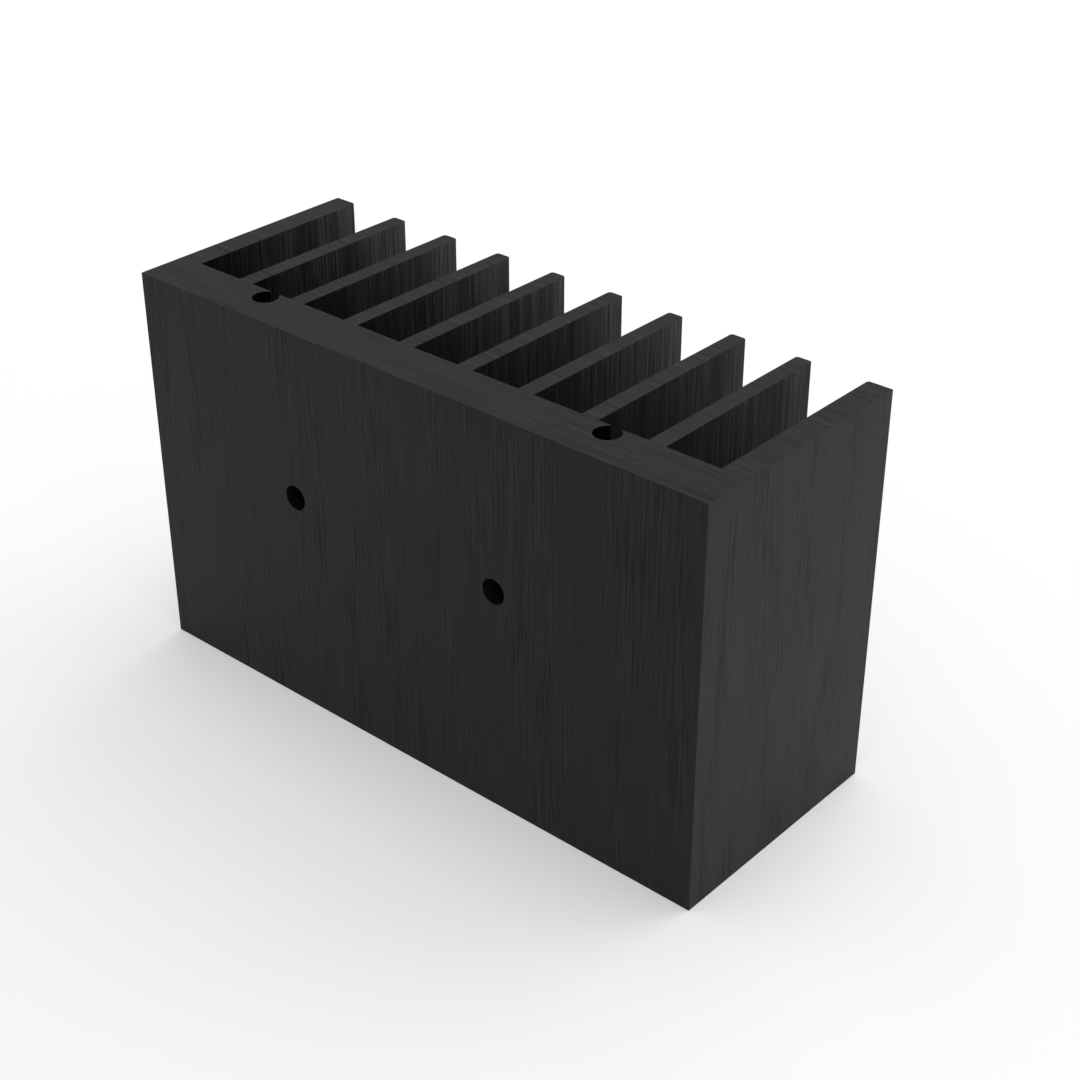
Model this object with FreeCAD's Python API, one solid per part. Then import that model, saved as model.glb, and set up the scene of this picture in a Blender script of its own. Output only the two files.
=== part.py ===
import FreeCAD, Part
import math
import os

# Extruded heat sink, in millimetres.
# The extrusion runs along Z. X is the width, Y runs from the mounting face of the base to the tips of the fins.
# The origin is in the middle of the cut end that the heat sink stands on.

# Cut length of the extrusion
LENGTH = 40.0

# Base
WIDTH = 66.5
BASE_THICKNESS = 5.1

# Fins, which stand on the back of the base and taper a little towards their tips
FIN_HEIGHT = 20.4
FIN_PITCH = 6.95
FIN_ROOT_THICKNESS = 1.75
FIN_TIP_THICKNESS = 1.65
SIDE_FIN_ROOT_THICKNESS = 2.6
SIDE_FIN_TIP_THICKNESS = 2.5
FIN_TIP_RADIUS = 0.3

# Screw channels in the floor of two fin gaps, which take a self-tapping screw at either end
CHANNEL_DIAMETER = 2.5
CHANNEL_MOUTH = 1.35
CHANNEL_LIP = 0.2
CHANNEL_FROM_GAP_MIDDLE = 0.6
CHANNEL_GAP_NUMBER = 1

# Device holes through the base, drilled to tap M3
DEVICE_HOLE_DIAMETER = 2.5
DEVICE_HOLE_FROM_SIDE = 19.6
DEVICE_HOLE_SPACING = 24.75
DEVICE_HOLE_HEIGHT = 23.0
DRILL_POINT_ANGLE = 118.0

# How far a cutting tool starts outside the metal that it enters
TOOL_START = 1.0

DEPTH = BASE_THICKNESS + FIN_HEIGHT
SIDE = WIDTH / 2
Z_AXIS = FreeCAD.Vector(0, 0, 1)


class Outline:
    """A closed outline in the XY plane, drawn in straight runs and arcs."""

    def __init__(self, x, y):
        self.start = FreeCAD.Vector(x, y, 0)
        self.end = self.start
        self.edges = []

    def line_to(self, x, y):
        """A straight run from where the outline ends now."""
        point = FreeCAD.Vector(x, y, 0)
        self.edges.append(Part.LineSegment(self.end, point).toShape())
        self.end = point

    def arc_to(self, middle_x, middle_y, x, y):
        """An arc through one point to another."""
        middle = FreeCAD.Vector(middle_x, middle_y, 0)
        point = FreeCAD.Vector(x, y, 0)
        self.edges.append(Part.Arc(self.end, middle, point).toShape())
        self.end = point

    def round_corner(self, corner_x, corner_y, next_x, next_y, radius):
        """A run to a corner that is rounded tangent to it and to the run that leads on to the next point."""
        corner = FreeCAD.Vector(corner_x, corner_y, 0)
        back = (self.end - corner).normalize()
        onward = (FreeCAD.Vector(next_x, next_y, 0) - corner).normalize()
        half_angle = back.getAngle(onward) / 2
        reach = radius / math.tan(half_angle)
        first = corner + back * reach
        last = corner + onward * reach
        middle = corner + (back + onward).normalize() * (radius / math.sin(half_angle) - radius)
        self.line_to(first.x, first.y)
        self.arc_to(middle.x, middle.y, last.x, last.y)

    def close(self):
        """The face inside the outline."""
        self.line_to(self.start.x, self.start.y)
        return Part.Face(Part.Wire(self.edges))


def inner_fin_centres():
    """X of each fin between the side fins: as many as leave an end gap no narrower than the other gaps."""
    gap = FIN_PITCH - FIN_ROOT_THICKNESS
    between_side_fins = WIDTH - 2 * SIDE_FIN_ROOT_THICKNESS
    count = int((between_side_fins - 2 * gap - FIN_ROOT_THICKNESS) / FIN_PITCH) + 1
    first = -(count - 1) * FIN_PITCH / 2
    return [first + number * FIN_PITCH for number in range(count)]


def channel_centres():
    """X of the two screw channels, each set in from the middle of its fin gap."""
    fins = inner_fin_centres()
    gap_middle = (fins[CHANNEL_GAP_NUMBER - 1] + fins[CHANNEL_GAP_NUMBER]) / 2
    centre = gap_middle + CHANNEL_FROM_GAP_MIDDLE
    return [centre, -centre]


def draw_channel(outline, centre):
    """A keyhole in the gap floor, drawn from +X to -X."""
    half_mouth = CHANNEL_MOUTH / 2
    radius = CHANNEL_DIAMETER / 2
    neck_y = BASE_THICKNESS - CHANNEL_LIP
    axis_y = neck_y - math.sqrt(radius**2 - half_mouth**2)
    outline.line_to(centre + half_mouth, BASE_THICKNESS)
    outline.line_to(centre + half_mouth, neck_y)
    outline.arc_to(centre, axis_y - radius, centre - half_mouth, neck_y)
    outline.line_to(centre - half_mouth, BASE_THICKNESS)


def draw_gap_floor(outline, right, left):
    """The floor of one fin gap, from its right corner to its left one, with the screw channel if it has one."""
    for centre in channel_centres():
        if left < centre < right:
            draw_channel(outline, centre)
    outline.line_to(left, BASE_THICKNESS)


def section():
    """The section of the extrusion, with its mounting face on the X axis."""
    tip_half = FIN_TIP_THICKNESS / 2
    root_half = FIN_ROOT_THICKNESS / 2
    outline = Outline(-SIDE, 0)
    outline.line_to(SIDE, 0)
    outline.line_to(SIDE, DEPTH)
    floor_right = SIDE - SIDE_FIN_ROOT_THICKNESS
    outline.round_corner(SIDE - SIDE_FIN_TIP_THICKNESS, DEPTH, floor_right, BASE_THICKNESS, FIN_TIP_RADIUS)
    outline.line_to(floor_right, BASE_THICKNESS)
    for centre in reversed(inner_fin_centres()):
        draw_gap_floor(outline, floor_right, centre + root_half)
        outline.round_corner(centre + tip_half, DEPTH, centre - tip_half, DEPTH, FIN_TIP_RADIUS)
        outline.round_corner(centre - tip_half, DEPTH, centre - root_half, BASE_THICKNESS, FIN_TIP_RADIUS)
        outline.line_to(centre - root_half, BASE_THICKNESS)
        floor_right = centre - root_half
    floor_left = SIDE_FIN_ROOT_THICKNESS - SIDE
    draw_gap_floor(outline, floor_right, floor_left)
    outline.round_corner(SIDE_FIN_TIP_THICKNESS - SIDE, DEPTH, -SIDE, DEPTH, FIN_TIP_RADIUS)
    outline.line_to(-SIDE, DEPTH)
    return outline.close()


def drill(x):
    """The drill at the end of its stroke: full diameter to the gap floor, with its point beyond."""
    radius = DEVICE_HOLE_DIAMETER / 2
    point_length = radius / math.tan(math.radians(DRILL_POINT_ANGLE / 2))
    inward = FreeCAD.Vector(0, 1, 0)
    start = FreeCAD.Vector(x, -TOOL_START, DEVICE_HOLE_HEIGHT)
    shoulder = FreeCAD.Vector(x, BASE_THICKNESS, DEVICE_HOLE_HEIGHT)
    body = Part.makeCylinder(radius, TOOL_START + BASE_THICKNESS, start, inward)
    point = Part.makeCone(radius, 0, point_length, shoulder, inward)
    return body.fuse(point)


def heat_sink():
    """The cut and drilled length of extrusion, centred on the Z axis."""
    metal = section().extrude(Z_AXIS * LENGTH)
    first_hole = DEVICE_HOLE_FROM_SIDE - SIDE
    for x in (first_hole, first_hole + DEVICE_HOLE_SPACING):
        metal = metal.cut(drill(x))
    metal.translate(FreeCAD.Vector(0, -DEPTH / 2, 0))
    return metal.Solids[0]


os.makedirs("parts", exist_ok=True)
heat_sink().exportStep("parts/heat_sink.step")
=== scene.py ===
"""Looks of the extruded heat sink: one length of black anodised aluminium on a pale studio floor."""

import logging
import math
from collections.abc import Iterable
from dataclasses import dataclass, field
from enum import Enum

import bmesh
import bpy
from bmesh.types import BMesh, BMFace, BMVert
from bpy.types import Material, Node, NodeSocket, Object, World
from mathutils import Euler, Matrix, Vector


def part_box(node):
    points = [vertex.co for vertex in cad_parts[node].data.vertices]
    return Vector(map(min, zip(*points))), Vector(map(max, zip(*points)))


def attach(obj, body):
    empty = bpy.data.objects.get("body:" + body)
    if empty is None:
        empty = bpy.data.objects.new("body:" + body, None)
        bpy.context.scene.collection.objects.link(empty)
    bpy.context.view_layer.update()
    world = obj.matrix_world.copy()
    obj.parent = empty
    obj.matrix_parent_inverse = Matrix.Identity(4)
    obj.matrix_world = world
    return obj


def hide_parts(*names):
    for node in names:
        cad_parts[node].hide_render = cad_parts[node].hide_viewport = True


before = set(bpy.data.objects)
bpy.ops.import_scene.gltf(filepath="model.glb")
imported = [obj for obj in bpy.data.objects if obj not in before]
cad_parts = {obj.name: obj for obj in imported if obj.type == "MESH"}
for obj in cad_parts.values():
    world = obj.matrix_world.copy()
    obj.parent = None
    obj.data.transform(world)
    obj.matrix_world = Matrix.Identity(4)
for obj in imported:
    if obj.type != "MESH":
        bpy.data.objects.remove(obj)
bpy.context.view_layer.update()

MM = 0.001
NODE = "heat_sink"
LOW_CORNER, HIGH_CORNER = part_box(NODE)
BODY = "root"
WHITE = (1.0, 1.0, 1.0, 1.0)

# How far apart, in metres, two points still touch, and two corners of a turned shape are still welded
TOUCHING = 1e-7
WELD = 1e-6

# The multiple of a bore's radius up to which a corner counts as the bore's
BORE_MARGIN = 1.01

# The middle of a noise's values, and how much its lines wander
NOISE_MIDDLE = 0.5
NOISE_WANDER = 0.5

Triple = tuple[float, float, float]
Span = tuple[float, float]

log = logging.getLogger("heat_sink_scene")


class Surface(Enum):
    """The surfaces of the heat sink by how they were made and by the painted light or shade that some of
    them carry, each with the number of its material slot.
    """

    BASE_FACE = 0
    OUTER_SIDE = 1
    FIN_WALL = 2
    SAWN_END = 3
    CHANNEL_WALL = 4
    HOLE_WALL = 5
    BROKEN_EDGE = 6


def new_object(name: str, mesh: BMesh) -> Object:
    """Turns a finished bmesh into an object in the scene.

    Args:
        name: The name for the object and its mesh.
        mesh: The bmesh, which is freed here.

    Returns:
        The object, at the origin, with its place in its mesh.
    """
    data = bpy.data.meshes.new(name)
    mesh.to_mesh(data)
    mesh.free()
    piece = bpy.data.objects.new(name, data)
    bpy.context.scene.collection.objects.link(piece)
    return piece


def corners_in(geometry: Iterable[object]) -> list[BMVert]:
    """The corners among the parts that a bmesh operator made."""
    return [part for part in geometry if isinstance(part, BMVert)]


@dataclass
class FinBank:
    """The straight fins on the back of the base.

    Attributes:
        count: How many fins stand between the two side fins.
        pitch: The distance from the middle of one of them to the next.
        height: How far all fins stand up from the gap floor.
        root: Their thickness at the gap floor.
        tip: Their thickness at the tip.
        side_root: The thickness of a side fin at the gap floor.
        side_tip: The thickness of a side fin at the tip.
        tip_radius: The radius of the rounded tip corners.
        tip_steps: How many facets that rounding has.
    """

    count: int = 8
    pitch: float = 6.95 * MM
    height: float = 20.4 * MM
    root: float = 1.75 * MM
    tip: float = 1.65 * MM
    side_root: float = 2.6 * MM
    side_tip: float = 2.5 * MM
    tip_radius: float = 0.3 * MM
    tip_steps: int = 6

    def centres(self) -> list[float]:
        """X of the fins between the two side fins, from left to right."""
        first = -(self.count - 1) * self.pitch / 2
        return [first + number * self.pitch for number in range(self.count)]

    def walls(self, side: float) -> list[Span]:
        """Where the fins stand on the base.

        Args:
            side: X of the right side of the extrusion.

        Returns:
            X of the left and the right root of each fin, side fins included.
        """
        inner = [(centre - self.root / 2, centre + self.root / 2) for centre in self.centres()]
        return [(-side, self.side_root - side), *inner, (side - self.side_root, side)]


@dataclass
class Extrusion:
    """The length of extrusion before it is drilled, as wide, deep and long as the solid.

    Attributes:
        width: Its size along X.
        depth: Its size along Y.
        length: Its size along Z, to which it is cut.
        fins: Its fins.
    """

    width: float = HIGH_CORNER[0] - LOW_CORNER[0]
    depth: float = HIGH_CORNER[1] - LOW_CORNER[1]
    length: float = HIGH_CORNER[2] - LOW_CORNER[2]
    fins: FinBank = field(default_factory=FinBank)

    @property
    def side(self) -> float:
        """X of the right side."""
        return self.width / 2

    @property
    def front(self) -> float:
        """Y of the face that the devices are mounted on."""
        return -self.depth / 2

    @property
    def tips(self) -> float:
        """Y of the tips of the fins."""
        return self.depth / 2

    @property
    def floor(self) -> float:
        """Y of the floor of the fin gaps."""
        return self.tips - self.fins.height

    def in_gap(self, point: Vector) -> bool:
        """Whether a point is on the floor of the fin gaps or behind it, and not on an outer side."""
        return point.y > self.floor - TOUCHING and abs(point.x) < self.side - TOUCHING

    def draw_base(self, mesh: BMesh) -> None:
        """Draws the section of the base as a strip with an edge under each fin and each gap.

        Args:
            mesh: The empty bmesh that the section is drawn in.
        """
        stations = [x for wall in self.fins.walls(self.side) for x in wall]
        end = mesh.verts.new((stations[0], self.front, 0.0))
        for station in stations[1:]:
            end = bmesh.ops.extrude_vert_indiv(mesh, verts=[end])["verts"][0]
            end.co.x = station
        drawn = bmesh.ops.extrude_edge_only(mesh, edges=mesh.edges[:])
        bmesh.ops.translate(mesh, verts=corners_in(drawn["geom"]), vec=(0.0, self.floor - self.front, 0.0))

    def raise_fins(self, mesh: BMesh) -> None:
        """Draws the fins out of the base and tapers them, in section.

        Args:
            mesh: The bmesh with the section of the base.
        """
        walls = self.fins.walls(self.side)
        on_floor = [
            edge
            for edge in mesh.edges
            if all(abs(corner.co.y - self.floor) < TOUCHING for corner in edge.verts)
        ]
        roots = [
            edge
            for edge in on_floor
            if any(left < (edge.verts[0].co.x + edge.verts[1].co.x) / 2 < right for left, right in walls)
        ]
        drawn = bmesh.ops.extrude_edge_only(mesh, edges=roots)
        tips = corners_in(drawn["geom"])
        bmesh.ops.translate(mesh, verts=tips, vec=(0.0, self.fins.height, 0.0))
        for left, right in walls:
            self.taper_fin(mesh, [tip for tip in tips if left - TOUCHING < tip.co.x < right + TOUCHING])

    def taper_fin(self, mesh: BMesh, tips: list[BMVert]) -> None:
        """Narrows one fin at its tip. A side fin keeps its outer wall straight.

        Args:
            mesh: The bmesh with the section.
            tips: The two corners of the fin's tip.
        """
        middle = sum(tip.co.x for tip in tips) / 2
        on_side = [tip.co.x for tip in tips if abs(abs(tip.co.x) - self.side) < TOUCHING]
        anchor = on_side[0] if on_side else middle
        share = self.fins.side_tip / self.fins.side_root if on_side else self.fins.tip / self.fins.root
        about = Matrix.Translation((-anchor, 0.0, 0.0))
        bmesh.ops.scale(mesh, vec=(share, 1.0, 1.0), space=about, verts=tips)

    def draw_out(self, mesh: BMesh) -> None:
        """Pushes the section along Z to the cut length.

        Args:
            mesh: The bmesh with the whole section.
        """
        drawn = bmesh.ops.extrude_face_region(mesh, geom=mesh.faces[:])
        bmesh.ops.translate(mesh, verts=corners_in(drawn["geom"]), vec=(0.0, 0.0, self.length))
        bmesh.ops.recalc_face_normals(mesh, faces=mesh.faces[:])

    def round_tips(self, mesh: BMesh) -> None:
        """Rounds the long corners of the fin tips. The outer corners of the side fins stay sharp.

        Args:
            mesh: The bmesh of the sharp extrusion.
        """
        corners = [
            edge
            for edge in mesh.edges
            if all(abs(corner.co.y - self.tips) < TOUCHING for corner in edge.verts)
            and all(self.in_gap(corner.co) for corner in edge.verts)
            and abs(edge.verts[0].co.z - edge.verts[1].co.z) > self.length / 2
        ]
        bmesh.ops.bevel(
            mesh,
            geom=corners,
            offset=self.fins.tip_radius,
            offset_type="OFFSET",
            segments=self.fins.tip_steps,
            profile=0.5,
            affect="EDGES",
            clamp_overlap=True,
            material=-1,
        )

    def build(self) -> Object:
        """Models the extrusion.

        Returns:
            The closed extrusion, with no channel or hole yet.
        """
        mesh = bmesh.new()
        self.draw_base(mesh)
        self.raise_fins(mesh)
        self.draw_out(mesh)
        self.round_tips(mesh)
        return new_object("heat_sink_extrusion", mesh)


@dataclass
class ScrewChannel:
    """A keyhole channel in the floor of a fin gap, which takes a screw at either end.

    Attributes:
        centre: X of its middle.
        floor: Y of the gap floor.
        diameter: The diameter of the round part.
        mouth: The width of the slot from the gap floor into the round part.
        lip: How deep that slot is.
        steps: How many facets the round part has.
        run_out: How far the cutter stands out past the extrusion.
    """

    centre: float
    floor: float
    diameter: float = 2.5 * MM
    mouth: float = 1.35 * MM
    lip: float = 0.2 * MM
    steps: int = 56
    run_out: float = 2.0 * MM

    @property
    def radius(self) -> float:
        """Radius of the round part."""
        return self.diameter / 2

    @property
    def neck(self) -> float:
        """Y where the round part meets the mouth."""
        return self.floor - self.lip

    @property
    def axis(self) -> float:
        """Y of the axis of the round part."""
        return self.neck - math.sqrt(self.radius**2 - (self.mouth / 2) ** 2)

    def holds(self, point: Vector) -> bool:
        """Whether a point lies in the round part or on its wall."""
        return math.hypot(point.x - self.centre, point.y - self.axis) < self.radius * BORE_MARGIN

    def lines(self, point: Vector) -> bool:
        """Whether a point lies in the round part, in the mouth or on a wall of either."""
        in_mouth = abs(point.x - self.centre) < self.mouth / 2 + TOUCHING
        return self.holds(point) or (in_mouth and point.y < self.floor + TOUCHING)

    def cutter(self, length: float) -> Object:
        """Models the shape that the channel takes out of the extrusion.

        Args:
            length: The cut length of the extrusion.

        Returns:
            A closed keyhole bar that stands out past both ends and past the gap floor.
        """
        mesh = bmesh.new()
        left = mesh.verts.new((self.centre - self.mouth / 2, self.neck, -self.run_out))
        round_part = bmesh.ops.spin(
            mesh,
            geom=[left],
            cent=(self.centre, self.axis, -self.run_out),
            axis=(0.0, 0.0, 1.0),
            angle=2 * math.pi - 2 * math.asin(self.mouth / self.diameter),
            steps=self.steps,
            use_merge=False,
            use_duplicate=False,
        )
        right = corners_in(round_part["geom_last"])[0]
        mouth = bmesh.ops.extrude_vert_indiv(mesh, verts=[left, right])["verts"]
        bmesh.ops.translate(mesh, verts=mouth, vec=(0.0, self.lip + self.run_out, 0.0))
        bmesh.ops.contextual_create(mesh, geom=mouth)
        bmesh.ops.edgenet_fill(mesh, edges=mesh.edges[:])
        bar = bmesh.ops.extrude_face_region(mesh, geom=mesh.faces[:])
        bmesh.ops.translate(mesh, verts=corners_in(bar["geom"]), vec=(0.0, 0.0, length + 2 * self.run_out))
        bmesh.ops.recalc_face_normals(mesh, faces=mesh.faces[:])
        return new_object("channel_cutter", mesh)


@dataclass
class DeviceHole:
    """A hole drilled through the base for the screw of a cooled device.

    Attributes:
        x: X of its axis.
        front: Y of the face that it is drilled from.
        floor: Y of the gap floor, to which it has its full diameter.
        z: Z of its axis.
        diameter: The diameter of the drill.
        point_angle: The angle of the drill's point.
        steps: How many facets the wall has.
        run_out: How far the cutter stands out in front of the extrusion.
    """

    x: float
    front: float
    floor: float
    z: float = 23.0 * MM
    diameter: float = 2.5 * MM
    point_angle: float = math.radians(118.0)
    steps: int = 64
    run_out: float = 1.0 * MM

    @property
    def radius(self) -> float:
        """Radius of the hole."""
        return self.diameter / 2

    def holds(self, point: Vector) -> bool:
        """Whether a point lies in the hole, in its rim or on its wall."""
        return math.hypot(point.x - self.x, point.z - self.z) < self.radius * BORE_MARGIN

    def cutter(self) -> Object:
        """Models the drill at the end of its stroke.

        Returns:
            A closed drill, full diameter to the gap floor and with its point beyond.
        """
        mesh = bmesh.new()
        point_length = self.radius / math.tan(self.point_angle / 2)
        profile = [
            (self.radius, self.floor),
            (self.radius, self.front - self.run_out),
            (0.0, self.front - self.run_out),
        ]
        end = mesh.verts.new((self.x, self.floor + point_length, self.z))
        for off_axis, y in profile:
            end = bmesh.ops.extrude_vert_indiv(mesh, verts=[end])["verts"][0]
            end.co = (self.x + off_axis, y, self.z)
        bmesh.ops.spin(
            mesh,
            geom=mesh.verts[:] + mesh.edges[:],
            cent=(self.x, self.front, self.z),
            axis=(0.0, 1.0, 0.0),
            angle=2 * math.pi,
            steps=self.steps,
            use_merge=True,
            use_duplicate=False,
        )
        bmesh.ops.remove_doubles(mesh, verts=mesh.verts[:], dist=WELD)
        bmesh.ops.recalc_face_normals(mesh, faces=mesh.faces[:])
        return new_object("device_hole_cutter", mesh)


class Graph:
    """The shader nodes of one material or of the world."""

    def __init__(self, owner: Material | World) -> None:
        """Starts with an empty graph.

        Args:
            owner: The material or world that the nodes belong to.
        """
        owner.use_nodes = True
        self.tree = owner.node_tree
        self.tree.nodes.clear()

    def add(self, kind: str, inputs: dict[str | int, object], **settings: object) -> Node:
        """Adds a node.

        Args:
            kind: The node's type.
            inputs: For each input, another node's output or a value.
            **settings: The node's own properties.

        Returns:
            The new node.
        """
        node = self.tree.nodes.new(kind)
        for name, value in settings.items():
            setattr(node, name, value)
        for name, value in inputs.items():
            if isinstance(value, NodeSocket):
                self.tree.links.new(value, node.inputs[name])
            else:
                node.inputs[name].default_value = value
        return node

    def place(self) -> NodeSocket:
        """Where a point of the surface is, in metres in the part's own frame."""
        return self.add("ShaderNodeTexCoord", {}).outputs["Object"]

    def lines(self, spacing: Triple, detail: float, roughness: float) -> NodeSocket:
        """Noise drawn out into slightly wavy lines.

        Args:
            spacing: The usual distance between two features along X, Y and Z, in metres.
            detail: How many finer layers the noise has.
            roughness: How strong the finer layers are.

        Returns:
            The noise, around a half.
        """
        scale = tuple(1 / distance for distance in spacing)
        stretched = self.add("ShaderNodeMapping", {"Vector": self.place(), "Scale": scale})
        noise = self.add(
            "ShaderNodeTexNoise",
            {
                "Vector": stretched.outputs["Vector"],
                "Scale": 1.0,
                "Detail": detail,
                "Roughness": roughness,
                "Distortion": NOISE_WANDER,
            },
        )
        return noise.outputs["Fac"]

    def spread(self, value: NodeSocket, result: Span, source: Span) -> NodeSocket:
        """Maps a value from one range onto another, and holds it at the ends.

        Args:
            value: The value.
            result: The result at the lower and at the upper end.
            source: The lower and the upper end of the value.

        Returns:
            The mapped value.
        """
        mapped = self.add(
            "ShaderNodeMapRange",
            {
                "Value": value,
                "From Min": source[0],
                "From Max": source[1],
                "To Min": result[0],
                "To Max": result[1],
            },
        )
        return mapped.outputs["Result"]

    def along_fins(self, result: Span, reach: Span) -> NodeSocket:
        """A value that changes evenly from the floor of the fin gaps to the fin tips.

        Args:
            result: The value at the gap floor and at the fin tips.
            reach: Y of the gap floor and of the fin tips.

        Returns:
            The value.
        """
        across = self.add("ShaderNodeSeparateXYZ", {"Vector": self.place()})
        return self.spread(across.outputs["Y"], result, reach)

    def combined(self, operation: str, first: NodeSocket, second: NodeSocket) -> NodeSocket:
        """Two values put together by one operation of arithmetic."""
        return self.add("ShaderNodeMath", {0: first, 1: second}, operation=operation).outputs["Value"]

    def vector(self, operation: str, *terms: NodeSocket | Triple) -> Node:
        """A node that does one operation of arithmetic on vectors."""
        return self.add("ShaderNodeVectorMath", dict(enumerate(terms)), operation=operation)

    def mixed(self, first: NodeSocket | float, second: NodeSocket, share: NodeSocket | float) -> NodeSocket:
        """Two values mixed, with a share of the second."""
        mix = self.add("ShaderNodeMix", {"Factor": share, "A": first, "B": second}, data_type="FLOAT")
        return mix.outputs["Result"]

    def tinted(self, value: NodeSocket, dark: Triple, light: Triple) -> NodeSocket:
        """Mixes a dark and a light colour.

        Args:
            value: The share of the light colour, from 0 to 1.
            dark: The dark colour.
            light: The light colour.

        Returns:
            The mixed colour.
        """
        ramp = self.add("ShaderNodeValToRGB", {"Fac": value})
        ramp.color_ramp.elements[0].color = (*dark, 1.0)
        ramp.color_ramp.elements[1].color = (*light, 1.0)
        return ramp.outputs["Color"]

    def seen(self) -> NodeSocket:
        """Tells rays that show something to the camera from rays that only carry light.

        Returns:
            1 for a ray from the camera, straight or by way of gloss or glass, and 0 for any other.
        """
        path = self.add("ShaderNodeLightPath", {})
        straight = self.combined("MAXIMUM", path.outputs["Is Camera Ray"], path.outputs["Is Glossy Ray"])
        return self.combined("MAXIMUM", straight, path.outputs["Is Transmission Ray"])


@dataclass(frozen=True)
class AnodisedFinish:
    """Black anodised aluminium with the lines that a die, saw or drill leaves under the anodising.

    The lines come in clumps, with calmer metal between them. On some surfaces the tones also carry painted
    light or shade.

    Attributes:
        name: The material's name.
        line_spacing: The usual distance between two lines along X, Y and Z.
        clump_spacing: The usual distance between two clumps along X, Y and Z.
        dark: The tone of the oxide in the darkest lines.
        light: The tone of the oxide in the lightest lines.
        roughness: The roughness where the metal is glossiest and where it is dullest.
        relief: How high the lines stand.
        specular: How strongly the surface mirrors.
        clump_share: How much of the tone follows the clumps, the rest being the lines.
        calm: How strong the lines still are between the clumps.
        contrast: How sharply light and dark lines part.
        painted_root_shade: The share of the tone that is left at the floor of the fin gaps; below 1 it
            darkens the fin walls towards the gap floor as painted shade.
        tip_lines: The share of the lines that is left at the fin tips.
        line_detail: How many finer layers the lines have.
        line_grit: How strong the finer layers of the lines are.
        clump_detail: How many finer layers the clumps have.
        clump_grit: How strong the finer layers of the clumps are.
        clump_reach: The values of the clumps' noise where calm metal ends and full lines begin.
        gloss_reach: The values of the clumps' noise where the metal is glossiest and dullest.
        swing: How far a noise swings from its middle in the lightest and darkest lines.
        blue: How much more blue than red and green the tone has.
    """

    name: str
    line_spacing: Triple
    clump_spacing: Triple
    dark: float
    light: float
    roughness: Span
    relief: float
    specular: float
    clump_share: float = 0.2
    calm: float = 0.25
    contrast: float = 1.0
    # Painted shade at the floor of the fin gaps; 1 paints none.
    painted_root_shade: float = 1.0
    tip_lines: float = 1.0
    line_detail: float = 4.0
    line_grit: float = 0.7
    clump_detail: float = 2.0
    clump_grit: float = 0.5
    clump_reach: Span = (0.42, 0.62)
    gloss_reach: Span = (0.3, 0.7)
    swing: float = 0.15
    blue: float = 1.03

    def tone(self, level: float) -> Triple:
        """The colour of the dyed oxide at one level, a little cooler than grey."""
        return (level, level, level * self.blue)

    def material(self, reach: Span) -> Material:
        """Builds the material.

        Args:
            reach: Y of the gap floor and of the fin tips.

        Returns:
            A near-black satin with lines in its colour and relief and bands in its gloss, darkened towards
            the gap floor as painted shade where the finish asks for it.
        """
        finished = bpy.data.materials.new(self.name)
        graph = Graph(finished)
        fine = graph.lines(self.line_spacing, self.line_detail, self.line_grit)
        bands = graph.lines(self.clump_spacing, self.clump_detail, self.clump_grit)
        clumps = graph.combined(
            "MULTIPLY",
            graph.spread(bands, (self.calm, 1.0), self.clump_reach),
            graph.along_fins((1.0, self.tip_lines), reach),
        )
        marks = graph.mixed(graph.mixed(NOISE_MIDDLE, fine, clumps), bands, self.clump_share)
        swing = self.swing / self.contrast
        # Painted shade: the tone darkens from the fin tips towards the gap floor as far as the finish asks.
        shade = graph.combined(
            "MULTIPLY",
            graph.spread(marks, (0.0, 1.0), (NOISE_MIDDLE - swing, NOISE_MIDDLE + swing)),
            graph.along_fins((self.painted_root_shade, 1.0), reach),
        )
        bump = graph.add("ShaderNodeBump", {"Height": fine, "Distance": self.relief, "Strength": clumps})
        shader = graph.add(
            "ShaderNodeBsdfPrincipled",
            {
                "Base Color": graph.tinted(shade, self.tone(self.dark), self.tone(self.light)),
                "Roughness": graph.spread(bands, self.roughness, self.gloss_reach),
                "Normal": bump.outputs["Normal"],
                "Specular IOR Level": self.specular,
            },
        )
        graph.add("ShaderNodeOutputMaterial", {"Surface": shader.outputs["BSDF"]})
        return finished


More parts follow.
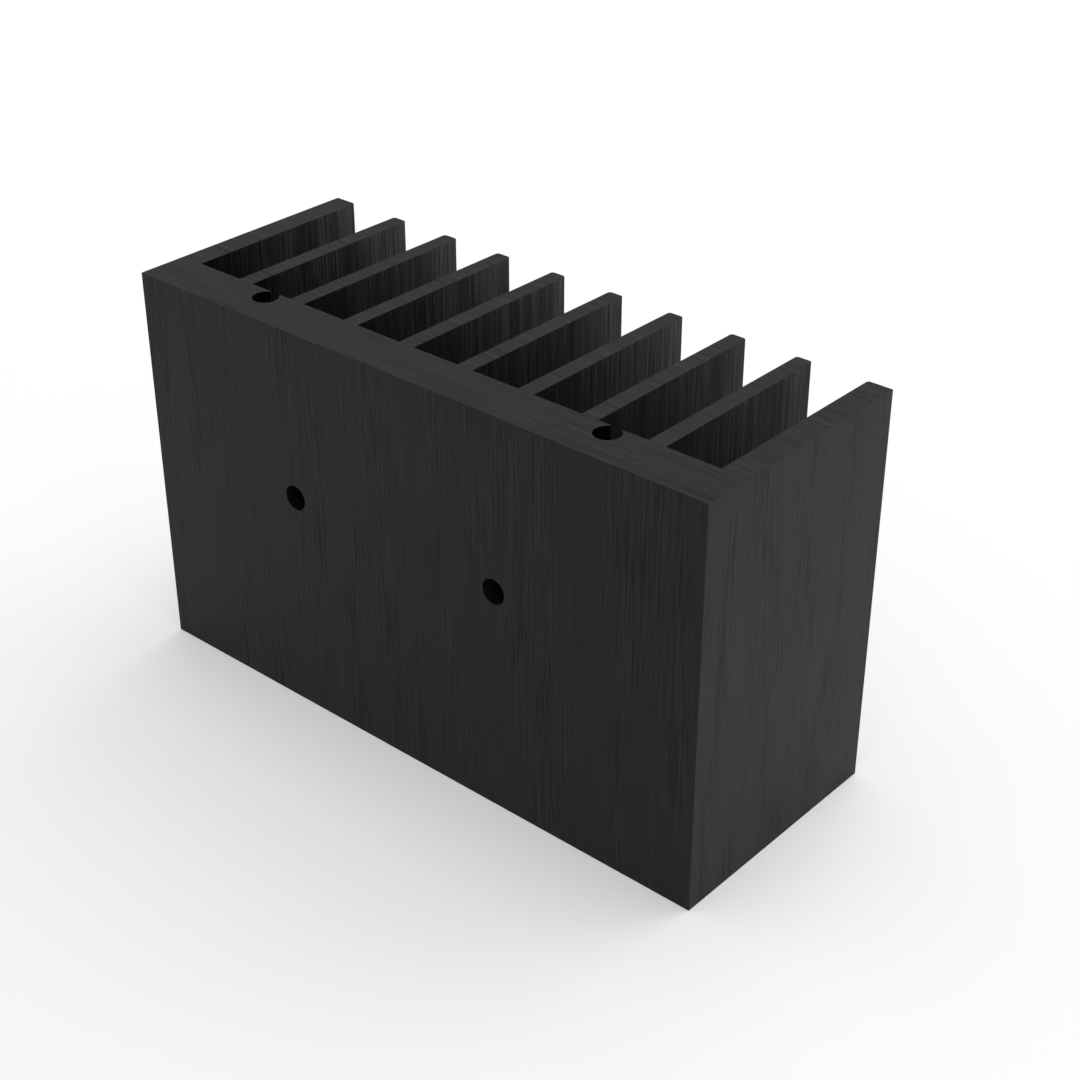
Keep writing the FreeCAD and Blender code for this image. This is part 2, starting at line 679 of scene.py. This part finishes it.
FINISHES: dict[Surface, AnodisedFinish] = {
    Surface.BASE_FACE: AnodisedFinish(
        name="base_face_black_anodised",
        line_spacing=(0.26 * MM, 0.26 * MM, 9.0 * MM),
        clump_spacing=(3.0 * MM, 3.0 * MM, 24.0 * MM),
        dark=0.0016,
        light=0.0150,
        roughness=(0.46, 0.58),
        relief=0.13 * MM,
        specular=0.135,
        clump_share=0.1,
        calm=0.12,
        contrast=1.5,
    ),
    # Painted light: the side is toned lighter than the front, though both are the same drawn metal, for
    # more light falling on the side.
    Surface.OUTER_SIDE: AnodisedFinish(
        name="side_black_anodised_painted_light",
        line_spacing=(0.28 * MM, 0.28 * MM, 6.0 * MM),
        clump_spacing=(3.0 * MM, 3.0 * MM, 20.0 * MM),
        dark=0.0040,
        light=0.0175,
        roughness=(0.44, 0.56),
        relief=0.12 * MM,
        specular=0.145,
        clump_share=0.1,
        calm=0.12,
        contrast=1.3,
    ),
    # Painted shade between the fins: the tone falls from a light grey at the fin tips to near black at the
    # gap floor.
    Surface.FIN_WALL: AnodisedFinish(
        name="fin_wall_black_anodised_painted_root_shade",
        line_spacing=(0.17 * MM, 0.17 * MM, 14.0 * MM),
        clump_spacing=(3.2 * MM, 3.2 * MM, 30.0 * MM),
        dark=0.0004,
        light=0.0740,
        roughness=(0.42, 0.54),
        relief=0.50 * MM,
        specular=0.03,
        clump_share=0.1,
        calm=0.3,
        contrast=3.6,
        painted_root_shade=0.0,
        tip_lines=0.28,
    ),
    Surface.SAWN_END: AnodisedFinish(
        name="sawn_black_anodised",
        line_spacing=(8.0 * MM, 0.55 * MM, 0.55 * MM),
        clump_spacing=(20.0 * MM, 2.0 * MM, 2.0 * MM),
        dark=0.0035,
        light=0.0285,
        roughness=(0.60, 0.70),
        relief=0.09 * MM,
        specular=0.10,
    ),
    # Painted shade: the channel walls are toned far darker than the fin walls, for the shade deep inside
    # the channels.
    Surface.CHANNEL_WALL: AnodisedFinish(
        name="channel_black_anodised_painted_shade",
        line_spacing=(0.20 * MM, 0.20 * MM, 7.0 * MM),
        clump_spacing=(1.3 * MM, 1.3 * MM, 18.0 * MM),
        dark=0.0002,
        light=0.0028,
        roughness=(0.70, 0.80),
        relief=0.12 * MM,
        specular=0.015,
    ),
    # Painted shade: the drilled walls are toned darker than the face they are drilled from, for the shade
    # inside the holes.
    Surface.HOLE_WALL: AnodisedFinish(
        name="drilled_black_anodised_painted_shade",
        line_spacing=(0.80 * MM, 0.12 * MM, 0.80 * MM),
        clump_spacing=(3.0 * MM, 0.5 * MM, 3.0 * MM),
        dark=0.0035,
        light=0.0095,
        roughness=(0.85, 0.95),
        relief=0.015 * MM,
        specular=0.0,
    ),
    # Painted highlight: the broken edges are toned lighter than the faces beside them, for a thin light
    # line along the edges.
    Surface.BROKEN_EDGE: AnodisedFinish(
        name="edge_black_anodised_painted_highlight",
        line_spacing=(0.6 * MM, 0.6 * MM, 0.6 * MM),
        clump_spacing=(5.0 * MM, 5.0 * MM, 5.0 * MM),
        dark=0.0070,
        light=0.0150,
        roughness=(0.46, 0.56),
        relief=0.010 * MM,
        specular=0.18,
    ),
}


@dataclass
class HeatSink:
    """The whole heat sink: the extrusion with its channels and drilled holes.

    Attributes:
        extrusion: The length of extrusion that is drilled.
        channel_gap: The number of the fin gap with the left channel, counted from 0.
        channel_from_middle: How far a channel is set in from the middle of its gap.
        first_hole: How far the first hole is from the left side.
        hole_spacing: How far apart the holes are.
        edge_break: How much is taken off the outer edges.
        sharp_from: The angle between two faces from which their edge is sharp.
        flush_within: The angle within which two faces are one.
        hole_wall_facing: How much of a hole wall's normal points along the hole at most.
        facing: How much of the normal of an end or a side points along its axis at least.
        flat_facing: The same for the flat part of a fin wall.
    """

    extrusion: Extrusion = field(default_factory=Extrusion)
    channel_gap: int = 1
    channel_from_middle: float = 0.6 * MM
    first_hole: float = 19.6 * MM
    hole_spacing: float = 24.75 * MM
    edge_break: float = 0.02 * MM
    sharp_from: float = math.radians(40.0)
    flush_within: float = math.radians(0.05)
    hole_wall_facing: float = 0.9
    facing: float = 0.99
    flat_facing: float = 0.999

    def channels(self) -> list[ScrewChannel]:
        """Places the channels, each set in from the middle of its gap towards the middle of the part.

        Returns:
            The left and the right channel.
        """
        fins = self.extrusion.fins.centres()
        middle = (fins[self.channel_gap - 1] + fins[self.channel_gap]) / 2
        centre = middle + self.channel_from_middle
        return [ScrewChannel(x, self.extrusion.floor) for x in (centre, -centre)]

    def holes(self) -> list[DeviceHole]:
        """Places the device holes.

        Returns:
            The left and the right hole.
        """
        first = self.first_hole - self.extrusion.side
        places = (first, first + self.hole_spacing)
        return [DeviceHole(x, self.extrusion.front, self.extrusion.floor) for x in places]

    def bores(self) -> list[ScrewChannel | DeviceHole]:
        """The channels and the holes."""
        return [*self.channels(), *self.holes()]

    @staticmethod
    def cut(piece: Object, cutters: Iterable[Object]) -> None:
        """Takes the cutters' shapes out of the piece and removes the cutters.

        Args:
            piece: The extrusion.
            cutters: The channel and drill shapes.
        """
        tools = list(cutters)
        for tool in tools:
            removal = piece.modifiers.new(tool.name, "BOOLEAN")
            removal.operation = "DIFFERENCE"
            removal.solver = "EXACT"
            removal.object = tool
        depsgraph = bpy.context.evaluated_depsgraph_get()
        machined = bpy.data.meshes.new_from_object(piece.evaluated_get(depsgraph), depsgraph=depsgraph)
        piece.modifiers.clear()
        blank = piece.data
        piece.data = machined
        bpy.data.meshes.remove(blank)
        for tool in tools:
            shape = tool.data
            bpy.data.objects.remove(tool)
            bpy.data.meshes.remove(shape)

    def surface_of(self, face: BMFace) -> Surface:
        """Tells how a face was made.

        Args:
            face: A face of the machined heat sink.

        Returns:
            The surface that the face is a part of.
        """
        corners = [corner.co for corner in face.verts]
        # The highest and the lowest facet of a hole's wall face along Z as the ends do, so holes come first
        along_hole = abs(face.normal.y) > self.hole_wall_facing
        # Hole walls take a darker finish: painted shade.
        if not along_hole and any(all(map(hole.holds, corners)) for hole in self.holes()):
            return Surface.HOLE_WALL
        if abs(face.normal.z) > self.facing:
            return Surface.SAWN_END
        # Channel walls take a far darker finish than the fin walls: painted shade.
        if any(all(map(channel.lines, corners)) for channel in self.channels()):
            return Surface.CHANNEL_WALL
        if all(map(self.extrusion.in_gap, corners)):
            return Surface.FIN_WALL
        # The sides take a lighter finish than the front: painted light.
        return Surface.OUTER_SIDE if abs(face.normal.x) > self.facing else Surface.BASE_FACE

    def is_round(self, face: BMFace, surface: Surface) -> bool:
        """Tells whether a face is a part of a round bore or of the rounding of a fin tip.

        Args:
            face: A face of the machined heat sink.
            surface: How the face was made.

        Returns:
            Whether the face is shaded smooth.
        """
        if surface is Surface.FIN_WALL:
            return max(abs(face.normal.x), abs(face.normal.y)) < self.flat_facing
        return any(all(bore.holds(corner.co) for corner in face.verts) for bore in self.bores())

    def mark_surfaces(self, mesh: BMesh) -> None:
        """Gives every face its finish, and smooths the round ones up to their sharp edges.

        Args:
            mesh: The machined heat sink.
        """
        for face in mesh.faces:
            surface = self.surface_of(face)
            face.material_index = surface.value
            face.smooth = self.is_round(face, surface)
        for edge in mesh.edges:
            edge.smooth = edge.calc_face_angle() < self.sharp_from

    def break_edges(self, mesh: BMesh) -> None:
        """Takes the sharpness off the outer edges, as they are before anodising. The bores keep theirs.

        Args:
            mesh: The machined heat sink, with its surfaces marked.
        """
        bores = self.bores()
        outer = [
            edge
            for edge in mesh.edges
            if edge.is_convex
            and edge.calc_face_angle() > self.sharp_from
            and not any(all(bore.holds(corner.co) for corner in edge.verts) for bore in bores)
        ]
        broken = bmesh.ops.bevel(
            mesh,
            geom=outer,
            offset=self.edge_break,
            offset_type="OFFSET",
            segments=1,
            profile=0.5,
            affect="EDGES",
            clamp_overlap=False,
            material=-1,
        )
        # The bevels take the lighter edge finish: a painted highlight along the edges.
        for face in broken["faces"]:
            face.material_index = Surface.BROKEN_EDGE.value
            face.smooth = False

    def build(self) -> Object:
        """Models the heat sink.

        Returns:
            The machined, deburred heat sink with a material number on every face.
        """
        piece = self.extrusion.build()
        cutters = [channel.cutter(self.extrusion.length) for channel in self.channels()]
        cutters += [hole.cutter() for hole in self.holes()]
        self.cut(piece, cutters)
        mesh = bmesh.new()
        mesh.from_mesh(piece.data)
        bmesh.ops.remove_doubles(mesh, verts=mesh.verts[:], dist=TOUCHING)
        bmesh.ops.dissolve_limit(
            mesh,
            angle_limit=self.flush_within,
            verts=mesh.verts[:],
            edges=mesh.edges[:],
            use_dissolve_boundaries=False,
        )
        self.mark_surfaces(mesh)
        self.break_edges(mesh)
        mesh.to_mesh(piece.data)
        mesh.free()
        piece.name = piece.data.name = "anodised_heat_sink"
        return piece

    def dress(self, piece: Object) -> None:
        """Puts the anodised finishes on the heat sink.

        Args:
            piece: The modelled heat sink.
        """
        reach = (self.extrusion.floor, self.extrusion.tips)
        for surface in Surface:
            piece.data.materials.append(FINISHES[surface].material(reach))


@dataclass
class Studio:
    """The pale floor, the soft light and the camera.

    Attributes:
        floor_radius: Radius of the floor.
        floor_corners: How many corners its rim has.
        floor_gap: How far it lies below the part.
        floor_grey: Its tone.
        white_share: The share of plain white in it, at the part and a little away from it, in what the
            camera sees and the part reflects; it lifts the part's shadow as painted light, less at the
            part's foot.
        white_share_reach: The distances from the part between which that share changes.
        fade_out_reach: The distances from the part between which it turns plain white.
        sky: How bright the light from all round is.
        lamp_power: The lamp's power in watts.
        lamp_size: Width and height of the lamp.
        lamp_place: Where the lamp hangs.
        camera_place: Where the camera stands.
        camera_turn: The camera's turn about X, Y and Z, in degrees.
        camera_lens: The focal length, in millimetres.
        camera_sensor: The width of the sensor, in millimetres.
        nearest_seen: How near to the camera a thing is still seen.
    """

    floor_radius: float = 3.0
    floor_corners: int = 128
    floor_gap: float = 0.02 * MM
    floor_grey: float = 0.93
    white_share: Span = (0.22, 0.38)
    white_share_reach: Span = (0.0, 12.0 * MM)
    fade_out_reach: Span = (120.0 * MM, 420.0 * MM)
    sky: float = 0.88
    lamp_power: float = 3.2
    lamp_size: float = 0.9
    lamp_place: Triple = (0.13, 0.62, 0.60)
    camera_place: Triple = (0.109862, -0.119540, 0.114938)
    camera_turn: Triple = (59.1730, 0.0404, 41.1586)
    camera_lens: float = 66.903
    camera_sensor: float = 36.0
    nearest_seen: float = 5.0 * MM

    def away_from_part(self, graph: Graph) -> NodeSocket:
        """How far a point of the floor is from the part's footprint.

        Args:
            graph: The graph of the floor's finish.

        Returns:
            The distance in metres, 0 under the part.
        """
        half = (HIGH_CORNER[0], HIGH_CORNER[1], 0.0)
        folded = graph.vector("ABSOLUTE", graph.place())
        past = graph.vector("SUBTRACT", folded.outputs["Vector"], half)
        outside = graph.vector("MAXIMUM", past.outputs["Vector"], (0.0, 0.0, 0.0))
        return graph.vector("LENGTH", outside.outputs["Vector"]).outputs["Value"]

    def floor_material(self) -> Material:
        """Builds the floor's finish.

        Returns:
            A matt pale floor that keeps a soft shadow, lifted by painted light that is weaker at the part's
            foot, and turns to plain white far from the part.
        """
        finished = bpy.data.materials.new("studio_floor")
        graph = Graph(finished)
        matt = graph.add(
            "ShaderNodeBsdfPrincipled",
            {
                "Base Color": (self.floor_grey, self.floor_grey, self.floor_grey, 1.0),
                "Roughness": 1.0,
                "Specular IOR Level": 0.0,
            },
        )
        white = graph.add("ShaderNodeEmission", {"Color": WHITE, "Strength": 1.0})
        away = self.away_from_part(graph)
        # Painted light on the floor: a share of plain white that lifts the part's shadow, smaller at the
        # part's foot so the shade there stays deeper.
        painted_shadow_lift = graph.spread(away, self.white_share, self.white_share_reach)
        far = graph.spread(away, (0.0, 1.0), self.fade_out_reach)
        share = graph.combined("MULTIPLY", graph.combined("MAXIMUM", painted_shadow_lift, far), graph.seen())
        both = graph.add(
            "ShaderNodeMixShader",
            {0: share, 1: matt.outputs["BSDF"], 2: white.outputs["Emission"]},
        )
        graph.add("ShaderNodeOutputMaterial", {"Surface": both.outputs["Shader"]})
        return finished

    def lay_floor(self) -> None:
        """Lays a round floor under the part, a hair below it."""
        mesh = bmesh.new()
        bmesh.ops.create_circle(mesh, cap_ends=True, segments=self.floor_corners, radius=self.floor_radius)
        bmesh.ops.translate(mesh, verts=mesh.verts[:], vec=(0.0, 0.0, -self.floor_gap))
        bmesh.ops.recalc_face_normals(mesh, faces=mesh.faces[:])
        floor = new_object("studio_floor", mesh)
        floor.data.materials.append(self.floor_material())

    def fill_with_light(self) -> None:
        """Lights the part from all round, and shows plain white behind it."""
        world = bpy.data.worlds.new("studio_light")
        graph = Graph(world)
        level = graph.spread(graph.seen(), (self.sky, 1.0), (0.0, 1.0))
        glow = graph.add("ShaderNodeBackground", {"Color": WHITE, "Strength": level})
        graph.add("ShaderNodeOutputWorld", {"Surface": glow.outputs["Background"]})
        bpy.context.scene.world = world

    def hang_lamp(self) -> None:
        """Hangs a large soft lamp behind the part, above it and a little to its right."""
        lamp = bpy.data.lights.new("softbox", "AREA")
        lamp.energy = self.lamp_power
        lamp.size = self.lamp_size
        hung = bpy.data.objects.new("softbox", lamp)
        hung.location = self.lamp_place
        hung.rotation_euler = (-Vector(self.lamp_place)).to_track_quat("-Z", "Y").to_euler()
        bpy.context.scene.collection.objects.link(hung)

    def aim_camera(self) -> None:
        """Stands the camera where the photograph was taken from."""
        lens = bpy.data.cameras.new("camera")
        lens.sensor_width = self.camera_sensor
        lens.lens = self.camera_lens
        lens.clip_start = self.nearest_seen
        camera = bpy.data.objects.new("camera", lens)
        camera.location = self.camera_place
        camera.rotation_euler = Euler([math.radians(angle) for angle in self.camera_turn])
        bpy.context.scene.collection.objects.link(camera)
        bpy.context.scene.camera = camera

    def build(self) -> None:
        """Sets up the whole studio."""
        bpy.context.scene.view_settings.view_transform = "Standard"
        self.aim_camera()
        self.fill_with_light()
        self.hang_lamp()
        self.lay_floor()


def report(piece: Object) -> None:
    """Logs how many triangles a finished piece has.

    Args:
        piece: The piece.
    """
    piece.data.calc_loop_triangles()
    log.info("%s: %d triangles", piece.name, len(piece.data.loop_triangles))


def main() -> None:
    """Builds the studio and the heat sink."""
    logging.basicConfig(level=logging.INFO, format="%(message)s")
    Studio().build()
    heat_sink = HeatSink()
    piece = heat_sink.build()
    heat_sink.dress(piece)
    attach(piece, BODY)
    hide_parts(NODE)
    report(piece)


if __name__ == "__main__":
    main()
